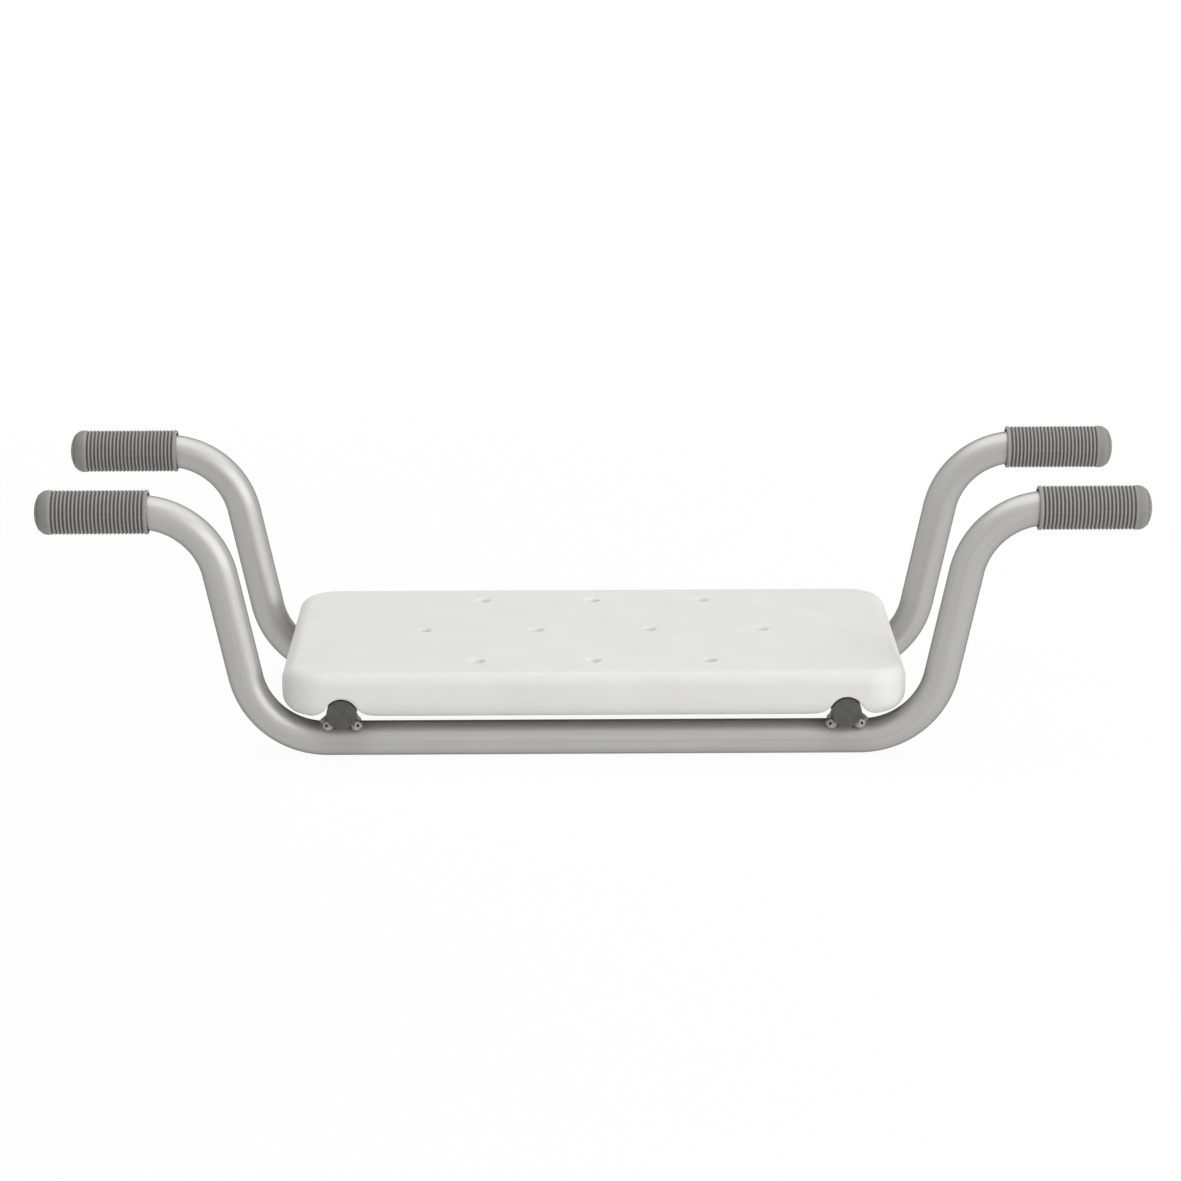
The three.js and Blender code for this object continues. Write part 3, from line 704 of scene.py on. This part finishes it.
# Fixings
def recess_cutter(place):
    """One of the two crossing slots of a screw's recess, narrower towards its floor"""
    floor = RECESS_DEPTH - SCREW_HEAD_HEIGHT
    rings = []
    for height, share in ((-OVERRUN, 1.0), (-SCREW_HEAD_HEIGHT, 1.0), (floor, RECESS_TAPER)):
        reach, half = RECESS_REACH * share, RECESS_HALF_WIDTH * share
        corners = ((reach, -half), (reach, half), (-reach, half), (-reach, -half))
        rings.append([(x, y, height) for x, y in corners])
    cutter = loft("recess", rings)
    cutter.data.transform(place)
    return cutter


def seat_screw(name, side, row):
    """A pan-head screw with a threaded shank and a cross recess"""
    place = fixing_place(side, row, SCREW_LOW + SCREW_HEAD_HEIGHT)
    head = rounded([
        (0, -SCREW_HEAD_HEIGHT, 0),
        (SCREW_HEAD_RADIUS - FINE_ROUND, -SCREW_HEAD_HEIGHT + SCREW_HEAD_RISE, SCREW_HEAD_ROUND),
        (SCREW_HEAD_RADIUS, 0, FINE_ROUND),
        (SHANK_RADIUS, 0, 0)])
    length = SCREW_HIGH - SCREW_LOW - SCREW_HEAD_HEIGHT
    rings = int(length / THREAD_PITCH * THREAD_RINGS)
    shank = [(SHANK_RADIUS, length * (ring + 1) / (rings + 1)) for ring in range(rings)]
    profile = head + shank + [(SHANK_RADIUS - SHANK_TIP, length), (0, length)]
    first, last = len(head), len(head) + rings

    def thread(turn, height, index):
        """The helical groove, which deepens over its first rings"""
        if not first <= index < last:
            return 0
        phase = (height / THREAD_PITCH - turn / TURN) % 1
        run_in = min(1, (index - first) / THREAD_START_RINGS)
        return -THREAD_DEPTH * (1 - abs(2 * phase - 1)) * run_in

    piece = turned(name, profile, SCREW_SIDES, place, swell=thread)
    start = RECESS_SIDE_TURN * side + RECESS_ROW_TURN * row
    cut(piece, [recess_cutter(place @ Matrix.Rotation(turn + start, 4, "Z")) for turn in (0, QUARTER)])
    return crisp(piece, FIXING_CREASE)


def saddle_washer(name, side, row):
    """A washer hollowed above to fit the round tube"""
    place = fixing_place(side, row, 0)
    hole = SHANK_RADIUS + CLEARANCE
    rim = rounded([
        (hole, WASHER_LOW, 0),
        (WASHER_RADIUS, WASHER_LOW, WASHER_ROUND),
        (WASHER_RADIUS, WASHER_HIGH + OVERRUN, 0),
        (hole, WASHER_HIGH + OVERRUN, 0)])
    piece = turned(name, rim, WASHER_SIDES, place)
    reach = WASHER_RADIUS + OVERRUN
    bar_place = fixing_place(side, row, CROSS_Z) @ Matrix.Rotation(QUARTER, 4, "X")
    saddle = pin(CROSS_RADIUS + CLEARANCE, -reach, reach, bar_place, SADDLE_SIDES)
    top = pin(2 * reach, WASHER_HIGH, WASHER_HIGH + 3 * OVERRUN, place, TRIM_SIDES)
    cut(piece, [saddle, top])
    return crisp(piece, FIXING_CREASE)


def threaded_insert(name, side, row):
    """A knurled sleeve with a plain groove round its middle"""
    length = INSERT_HIGH - INSERT_LOW
    hole = SHANK_RADIUS + CLEARANCE
    lower, floor_low, floor_high, upper = (length * share for share in INSERT_GROOVE_SHARES)
    profile = rounded([
        (hole, FINE_ROUND, 0),
        (hole + FINE_ROUND, 0, 0),
        (INSERT_RADIUS, 0, INSERT_ROUND),
        (INSERT_RADIUS, lower, FINE_ROUND),
        (INSERT_RADIUS - INSERT_GROOVE, floor_low, FINE_ROUND),
        (INSERT_RADIUS - INSERT_GROOVE, floor_high, FINE_ROUND),
        (INSERT_RADIUS, upper, FINE_ROUND),
        (INSERT_RADIUS, length, INSERT_ROUND),
        (hole + FINE_ROUND, length, 0),
        (hole, length - FINE_ROUND, 0)])

    def knurl(turn, height, index):
        """Grooves along the outside, but for the plain groove"""
        outside = profile[index][0] > INSERT_RADIUS - INSERT_GROOVE / 2
        return -KNURL_DEPTH * wave(KNURL_COUNT * turn) if outside else 0

    place = fixing_place(side, row, INSERT_LOW)
    return turned(name, profile, 4 * KNURL_COUNT, place, swell=knurl)


# Node trees: most of a noise lies within NOISE_SPAN
NOISE_ROUGHNESS = 0.55
NOISE_SPAN = (0.3, 0.7)


class Nodes:
    """Short calls that add nodes to a tree"""

    def __init__(self, tree):
        self.tree = tree

    def node(self, kind, feeds=(), **settings):
        """A new node with its settings made and its sockets fed"""
        made = self.tree.nodes.new("ShaderNode" + kind)
        for key, value in settings.items():
            setattr(made, key, value)
        for key, value in dict(feeds).items():
            self.feed(made.inputs[key], value)
        return made

    def feed(self, socket, value):
        """Links an output to the socket, or sets the socket to a constant"""
        if isinstance(value, bpy.types.NodeSocket):
            self.tree.links.new(value, socket)
        else:
            socket.default_value = value

    def maths(self, operation, a, b):
        """The result of a sum on two values"""
        return self.node("Math", {0: a, 1: b}, operation=operation).outputs[0]

    def plus(self, a, b):
        return self.maths("ADD", a, b)

    def times(self, a, b):
        return self.maths("MULTIPLY", a, b)

    def mapped(self, value, low, high, to_low=0.0, to_high=1.0, smooth=False):
        """The value taken from the range low to high to the range to_low to to_high"""
        return self.node("MapRange", {0: value, 1: low, 2: high, 3: to_low, 4: to_high},
                         interpolation_type="SMOOTHSTEP" if smooth else "LINEAR").outputs[0]

    def spread(self, noise, low=0.0, high=1.0):
        """A noise spread over the range low to high"""
        return self.mapped(noise, *NOISE_SPAN, low, high)

    def mixed(self, share, a, b):
        """Colour a, with its share of colour b mixed in: sockets 6 and 7 are the node's colours"""
        return self.node("Mix", {0: share, 6: a, 7: b}, data_type="RGBA").outputs[2]

    def blend(self, share, a, b):
        """Shader a, with its share of shader b mixed in"""
        return self.node("MixShader", {0: share, 1: a, 2: b}).outputs[0]

    def in_sight(self):
        """1 for camera, glossy and transmission rays, and 0 for all others"""
        path = self.node("LightPath").outputs
        seen = self.maths("MAXIMUM", path["Is Camera Ray"], path["Is Glossy Ray"])
        return self.maths("MAXIMUM", seen, path["Is Transmission Ray"])


class Finish(Nodes):
    """A procedural material"""

    def __init__(self, name):
        self.material = bpy.data.materials.new(name)
        self.material.use_nodes = True
        super().__init__(self.material.node_tree)
        self.shader = self.tree.nodes["Principled BSDF"]

    def place(self):
        """Where a point lies on the object"""
        return self.node("TexCoord").outputs["Object"]

    def stock(self):
        """Where a point lies on the straight stock, along and then across it"""
        return self.node("Attribute", attribute_name="drawn").outputs["Vector"]

    def relief(self):
        """How high a point lies in its ribs or ripples, and below 0 where a weld crater's shade is
        painted
        """
        return self.node("Attribute", attribute_name="relief").outputs["Fac"]

    def noise(self, place, scale, detail=3.0, distortion=0.0):
        """Noise with one scale, or with a scale for each axis"""
        if isinstance(scale, tuple):
            place = self.node("VectorMath", {0: place, 1: scale}, operation="MULTIPLY").outputs[0]
            scale = 1.0
        return self.node("TexNoise", {
            "Vector": place, "Scale": scale, "Detail": detail,
            "Roughness": NOISE_ROUGHNESS, "Distortion": distortion}).outputs[0]

    def bump(self, height, strength, distance, under=None):
        """A normal tilted by a height, on top of the normal under it"""
        feeds = {"Height": height, "Strength": strength, "Distance": distance}
        if under is not None:
            feeds["Normal"] = under
        return self.node("Bump", feeds).outputs[0]

    def finish(self, **sockets):
        """Feeds the shader's sockets and gives the material"""
        for key, value in sockets.items():
            self.feed(self.shader.inputs[key.replace("_", " ")], value)
        return self.material


def grey(value, warm=0.0):
    """A near neutral colour, a little warm or cool"""
    return (value * (1 + warm), value, value * (1 - warm), 1.0)


# Materials: from DULL_NEAR to DULL_FAR from a joint, the tubes go from dull to bright
DULL_NEAR, DULL_FAR = 14 * MM, 30 * MM


def satin_tube():
    """Drawn and anodised aluminium: fine lines along the tube, soft blotches, a dull zone by the welds"""
    look = Finish("satin_tube")
    dark_line, pale_line = grey(0.41, 0.012), grey(0.5, 0.006)
    blotched, dulled, nicked = grey(0.44, 0.02), grey(0.36, 0.03), grey(0.55)
    stock = look.stock()
    fine = look.noise(stock, scale=(9, 2400, 2400))
    broad = look.noise(stock, scale=(2.5, 330, 330))
    lines = look.plus(look.times(fine, 0.45), look.times(broad, 0.55))
    blotch = look.noise(stock, scale=38, detail=4)
    specks = look.noise(stock, scale=2600, detail=2)
    marks = look.noise(stock, scale=(60, 500, 500), detail=2, distortion=0.6)
    nick = look.mapped(marks, 0.66, 0.74)

    corner = look.node("VectorMath", {0: look.place()}, operation="ABSOLUTE").outputs[0]
    joint = (CROSS_X, RAIL_Y, 2 * RAIL_RADIUS)
    away = look.node("VectorMath", {0: corner, 1: joint}, operation="DISTANCE").outputs["Value"]
    dull = look.mapped(away, DULL_NEAR, DULL_FAR, 1.0, 0.0, smooth=True)

    shade = look.mixed(look.mapped(lines, 0.35, 0.65), dark_line, pale_line)
    shade = look.mixed(look.mapped(blotch, 0.35, 0.7, 0.0, 0.35), shade, blotched)
    shade = look.mixed(look.times(dull, 0.4), shade, dulled)
    shade = look.mixed(look.times(nick, 0.25), shade, nicked)
    rough = look.plus(look.spread(lines, 0.34, 0.44), look.spread(blotch, -0.03, 0.05))
    rough = look.plus(rough, look.times(dull, 0.08))
    normal = look.bump(lines, strength=0.12, distance=0.12 * MM)
    normal = look.bump(specks, strength=0.05, distance=0.05 * MM, under=normal)
    # The near-black specular tint darkens the tubes' grazing edges: painted shade at the silhouettes, in
    # place of darker surroundings in the reflections
    return look.finish(Base_Color=shade, Metallic=0.75, Roughness=rough, Specular_Tint=grey(0.05),
                       Normal=normal)


def weld_metal():
    """Rippled weld: brighter crests, hollows painted grey as the shade between the ripples, and craters
    painted dark as the shade in their pits
    """
    look = Finish("weld_metal")
    hollow, crest, sooty, crater = grey(0.27, 0.02), grey(0.42, 0.01), grey(0.22, 0.03), grey(0.06)
    place, relief = look.place(), look.relief()
    grain = look.noise(place, scale=1500, detail=4)
    soot = look.noise(place, scale=260)
    # Ripple hollows painted darker than the crests: painted shade between the ripples
    shade = look.mixed(look.mapped(relief, 0.0, 0.9), hollow, crest)
    shade = look.mixed(look.mapped(soot, 0.45, 0.75, 0.0, 0.5), shade, sooty)
    # Craters painted near black: painted shade in their pits
    shade = look.mixed(look.mapped(relief, -0.8, -0.3, 1.0, 0.0), shade, crater)
    rough = look.spread(grain, 0.36, 0.6)
    normal = look.bump(grain, strength=0.3, distance=0.12 * MM)
    return look.finish(Base_Color=shade, Metallic=0.9, Roughness=rough, Normal=normal)


def grip_rubber():
    """Soft grey sleeve: lighter, scuffed crests, and grooves painted dark as the shade between the ribs
    """
    look = Finish("grip_rubber")
    groove, crest, scuffed, pore = grey(0.07, 0.03), grey(0.36, 0.02), grey(0.34, 0.02), grey(0.08)
    stock, relief = look.stock(), look.relief()
    pores = look.noise(stock, scale=2300)
    mottle = look.noise(stock, scale=130, detail=4)
    scuff = look.times(look.mapped(mottle, 0.45, 0.7), look.mapped(relief, 0.7, 1.0))
    # Grooves painted near black and crests grey: painted shade between the ribs
    shade = look.mixed(look.mapped(relief, 0.2, 0.95, smooth=True), groove, crest)
    shade = look.mixed(look.times(scuff, 0.35), shade, scuffed)
    shade = look.mixed(look.mapped(pores, 0.35, 0.65, 0.12, 0.0), shade, pore)
    rough = look.plus(look.spread(mottle, 0.58, 0.72), look.times(scuff, -0.12))
    normal = look.bump(pores, strength=0.25, distance=0.1 * MM)
    return look.finish(Base_Color=shade, Roughness=rough, Normal=normal)


def cap_plastic():
    """Dark grey moulded plastic with a fine spark texture"""
    look = Finish("cap_plastic")
    darker, paler = grey(0.062, 0.02), grey(0.085, 0.02)
    stock = look.stock()
    spark = look.noise(stock, scale=1900)
    cloud = look.noise(stock, scale=180)
    shade = look.mixed(look.mapped(cloud, 0.35, 0.65), darker, paler)
    rough = look.spread(spark, 0.46, 0.6)
    normal = look.bump(spark, strength=0.3, distance=0.09 * MM)
    return look.finish(Base_Color=shade, Roughness=rough, Normal=normal)


def seat_plastic():
    """Off-white blow-moulded polyethylene: pebbled skin, faint waves and fine use marks"""
    look = Finish("seat_plastic")
    darker, paler, marked = (0.765, 0.761, 0.748, 1), (0.795, 0.792, 0.780, 1), grey(0.66, 0.01)
    place = look.place()
    pebble = look.noise(place, scale=1250, detail=2)
    peel = look.noise(place, scale=240, detail=2)
    waves = look.noise(place, scale=16, detail=2)
    tint = look.noise(place, scale=30, detail=4)
    scratches = look.noise(place, scale=(45, 900, 900), detail=2, distortion=1.2)
    mark = look.mapped(scratches, 0.68, 0.76)
    shade = look.mixed(look.mapped(tint, 0.35, 0.65), darker, paler)
    shade = look.mixed(look.times(mark, 0.12), shade, marked)
    rough = look.plus(look.spread(pebble, 0.40, 0.50), look.times(mark, -0.06))
    normal = look.bump(waves, strength=0.35, distance=0.6 * MM)
    normal = look.bump(peel, strength=0.25, distance=0.12 * MM, under=normal)
    normal = look.bump(pebble, strength=0.3, distance=0.05 * MM, under=normal)
    return look.finish(
        Base_Color=shade, Roughness=rough, IOR=1.5, Specular_IOR_Level=0.42, Normal=normal,
        Subsurface_Weight=0.08, Subsurface_Radius=(0.9, 0.85, 0.8), Subsurface_Scale=1.5 * MM)


def zinc_steel():
    """Bright zinc plate, finely grained and a little clouded"""
    look = Finish("zinc_steel")
    clouded, bright = (0.50, 0.52, 0.54, 1), (0.66, 0.67, 0.67, 1)
    place = look.place()
    grain = look.noise(place, scale=1700, detail=4)
    shade = look.mixed(look.spread(look.noise(place, scale=320)), clouded, bright)
    rough = look.spread(grain, 0.26, 0.42)
    normal = look.bump(grain, strength=0.15, distance=0.05 * MM)
    return look.finish(Base_Color=shade, Metallic=1.0, Roughness=rough, Normal=normal)


def washer_nylon():
    """Black nylon, matte and slightly mottled"""
    look = Finish("washer_nylon")
    darker, paler = grey(0.018), grey(0.034)
    place = look.place()
    grain = look.noise(place, scale=1600)
    shade = look.mixed(look.spread(grain), darker, paler)
    rough = look.spread(look.noise(place, scale=300), 0.45, 0.62)
    normal = look.bump(grain, strength=0.25, distance=0.06 * MM)
    return look.finish(Base_Color=shade, Roughness=rough, Normal=normal)


def turned_brass():
    """Brass with fine turning lines and some tarnish"""
    look = Finish("turned_brass")
    bright, tarnished = (0.62, 0.42, 0.14, 1), (0.42, 0.27, 0.09, 1)
    stock = look.stock()
    lines = look.noise(stock, scale=(5200, 120, 120), detail=2)
    tarnish = look.noise(stock, scale=420)
    shade = look.mixed(look.mapped(tarnish, 0.35, 0.7), bright, tarnished)
    rough = look.spread(lines, 0.24, 0.4)
    normal = look.bump(lines, strength=0.2, distance=0.04 * MM)
    return look.finish(Base_Color=shade, Metallic=1.0, Roughness=rough, Normal=normal)


finishes = {
    "tube": satin_tube(),
    "weld": weld_metal(),
    "grip": grip_rubber(),
    "cap": cap_plastic(),
    "seat": seat_plastic(),
    "screw": zinc_steel(),
    "washer": washer_nylon(),
    "insert": turned_brass(),
}


def fit(piece, slot, *nodes):
    """Gives a finished piece its material and its body, and hides the nodes it stands for"""
    piece.data.materials.clear()
    piece.data.materials.append(finishes[slot])
    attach(piece, "root")
    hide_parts(*nodes)


# The bench
stations = rail_stations()
seed = 1
for row_name, row in ROWS:
    rail = tube(f"{row_name}_rail_tube", stations, row * RAIL_Y, RAIL_RADIUS, RAIL_WALL)
    fit(rail, "tube", f"{row_name}_rail")
for side_name, side in SIDES:
    fit(cross_tube(f"{side_name}_cross_bar", side), "tube", f"{side_name}_cross_tube")
    for row_name, row in ROWS:
        corner = f"{row_name}_{side_name}"
        fit(hand_grip(f"{corner}_grip_sleeve", side, row), "grip", f"{corner}_grip")
        fit(end_cap(f"{corner}_end_cap", side, row), "cap", f"{corner}_cap")
        for flank_name, flank, toe in (("outer", side, BEAD_OUTER_TOE), ("inner", -side, BEAD_INNER_TOE)):
            bead = weld_bead(f"{corner}_{flank_name}_bead", side, row, flank, toe, seed)
            fit(bead, "weld", f"{corner}_{flank_name}_weld")
            seed += 1
        fit(seat_screw(f"{corner}_screw", side, row), "screw", f"{corner}_seat_screw")
        fit(saddle_washer(f"{corner}_washer", side, row), "washer", f"{corner}_saddle_washer")
        fit(threaded_insert(f"{corner}_sleeve_nut", side, row), "insert", f"{corner}_insert")
fit(seat(), "seat", "seat")

# Floor: pale to the light, and white to the camera and in reflections, where it keeps the shadow.
# Near the bench a small part of that white is lit, which shows the shadow, and the rest glows.
FLOOR_HALF = 14.0
FLOOR_PALE = 0.88
FLOOR_GLOW = 0.94
GLOW_NEAR, GLOW_FAR = 0.45, 1.5


def floor_finish():
    """The floor's material, with its pale side and its white side"""
    look = Finish("pale_floor")
    place = look.place()
    away = look.node("VectorMath", {0: place}, operation="LENGTH").outputs["Value"]
    glow_share = look.mapped(away, GLOW_NEAR, GLOW_FAR, FLOOR_GLOW, 1.0, smooth=True)
    grain = look.spread(look.noise(place, scale=900), 0.97, 1.0)
    lit = look.node("BsdfDiffuse", {"Color": grain}).outputs[0]
    glow = look.node("Emission", {"Color": grey(1.0), "Strength": 1.0}).outputs[0]
    pale = look.node("BsdfDiffuse", {"Color": grey(FLOOR_PALE)}).outputs[0]
    shown = look.blend(look.in_sight(), pale, look.blend(glow_share, lit, glow))
    look.feed(look.tree.nodes["Material Output"].inputs["Surface"], shown)
    look.tree.nodes.remove(look.shader)
    return look.material


floor_corners = [(x * FLOOR_HALF, y * FLOOR_HALF, 0) for x, y in ((-1, -1), (1, -1), (1, 1), (-1, 1))]
floor = mesh_piece("floor", floor_corners, [(0, 1, 2, 3)])
floor.data.materials.append(floor_finish())

# Studio: a pale room, white to the camera and in reflections.
# Each lobe is a direction, the cosines where it starts and is full, and its light.
ROOM_LIGHT = 0.17
ROOM_LOBES = (
    ((0.0, -1.0, 0.25), 0.2, 0.9, 0.3),
    ((0.85, -0.55, 0.0), 0.3, 0.95, 0.4),
    ((-1.0, 0.0, 0.2), 0.2, 0.9, 0.35),
)
world = bpy.data.worlds.new("studio")
bpy.context.scene.world = world
world.use_nodes = True
world.node_tree.nodes.clear()
studio = Nodes(world.node_tree)
direction = studio.node("TexCoord").outputs["Generated"]
bright = ROOM_LIGHT
for aim, start, full, light in ROOM_LOBES:
    feeds = {0: direction, 1: Vector(aim).normalized()}
    toward = studio.node("VectorMath", feeds, operation="DOT_PRODUCT").outputs["Value"]
    bright = studio.plus(bright, studio.mapped(toward, start, full, 0.0, light, smooth=True))
room = studio.node("Background", {"Color": bright}).outputs[0]
backdrop = studio.node("Background", {"Color": grey(1.0)}).outputs[0]
studio.node("OutputWorld", {"Surface": studio.blend(studio.in_sight(), room, backdrop)})

# Lamps: name, place, size and power
LAMP_AIM = Vector((0, 0, 0.08))
LAMPS = (
    ("key", Vector((2.1, -1.3, 0.9)), (3.0, 2.6), 39),
    ("over", Vector((0.2, 0.4, 2.1)), (2.9, 2.9), 29),
)
for name, place, size, power in LAMPS:
    lamp = bpy.data.lights.new(name, "AREA")
    lamp.shape = "RECTANGLE"
    lamp.size, lamp.size_y = size
    lamp.energy = power
    light = bpy.data.objects.new(name, lamp)
    bpy.context.scene.collection.objects.link(light)
    light.location = place
    light.rotation_euler = (LAMP_AIM - place).to_track_quat("-Z", "Y").to_euler()

# Camera: placed by the fit to the photograph
CAMERA_PLACE = Vector((-11.33, -2260.48, 700.89)) * MM
CAMERA_AIM = Vector((-1.6, 0, 84.92)) * MM
CAMERA_ROLL = math.radians(-0.211)
CAMERA_REACH = 50
FOCAL_PIXELS = 3545
PHOTO_PIXELS = 1181
SENSOR_WIDTH = 36

camera_data = bpy.data.cameras.new("camera")
camera_data.sensor_width = SENSOR_WIDTH
camera_data.lens = SENSOR_WIDTH * FOCAL_PIXELS / PHOTO_PIXELS
camera_data.clip_end = CAMERA_REACH
camera = bpy.data.objects.new("camera", camera_data)
bpy.context.scene.collection.objects.link(camera)
forward = (CAMERA_AIM - CAMERA_PLACE).normalized()
level = forward.cross(Vector((0, 0, 1))).normalized()
upright = level.cross(forward)
across = level * math.cos(CAMERA_ROLL) + upright * math.sin(CAMERA_ROLL)
above = upright * math.cos(CAMERA_ROLL) - level * math.sin(CAMERA_ROLL)
pose = Matrix((across, above, -forward)).transposed().to_4x4()
pose.translation = CAMERA_PLACE
camera.matrix_world = pose
bpy.context.scene.camera = camera
bpy.context.scene.view_settings.view_transform = "Standard"
